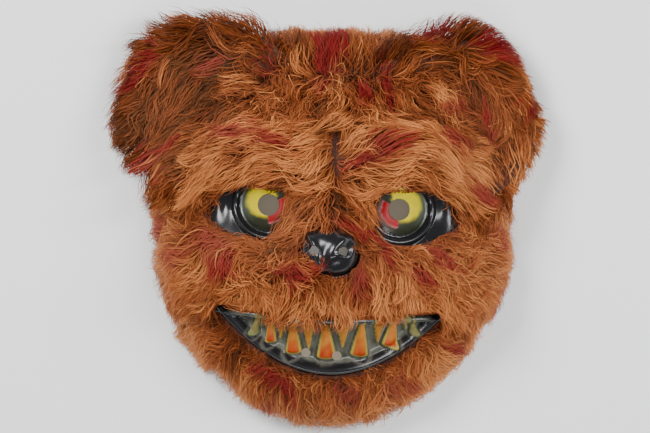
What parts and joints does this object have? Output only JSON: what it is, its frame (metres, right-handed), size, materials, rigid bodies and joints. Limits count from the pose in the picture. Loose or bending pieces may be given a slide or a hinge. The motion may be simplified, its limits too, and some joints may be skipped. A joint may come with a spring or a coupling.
{
  "type": "bear mask",
  "caption": "Plush-covered plastic bear face mask with round ears, a grin of pointed teeth, pierced pupils and an elastic band behind.",
  "frame": {"origin": "middle of the whole mask's box in X and Y, in the plane of the rim that the mask lies on", "axes": "+Z straight out of the face, +Y to the crown, +X to the right for someone who looks at the face"},
  "size_m": [0.278, 0.2714, 0.0907],
  "materials": {
    "shell_plastic": "gloss, painted yellow, orange and red on eyes and teeth",
    "face_plush": "long pile, with dark red stains",
    "brow_plush": "long pile, combed sideways",
    "crown_plush": "long curly pile, with dark red stains",
    "ear_plush": "long pile",
    "strap_elastic": "woven elastic"
  },
  "bodies": {
    "root": {"face_shell": "shell_plastic", "face_fur": "face_plush", "brow_fur_left": "brow_plush", "brow_fur_right": "brow_plush", "crown_fur": "crown_plush", "ear_left": "ear_plush", "ear_right": "ear_plush", "head_strap": "strap_elastic"}
  },
  "joints": []
}
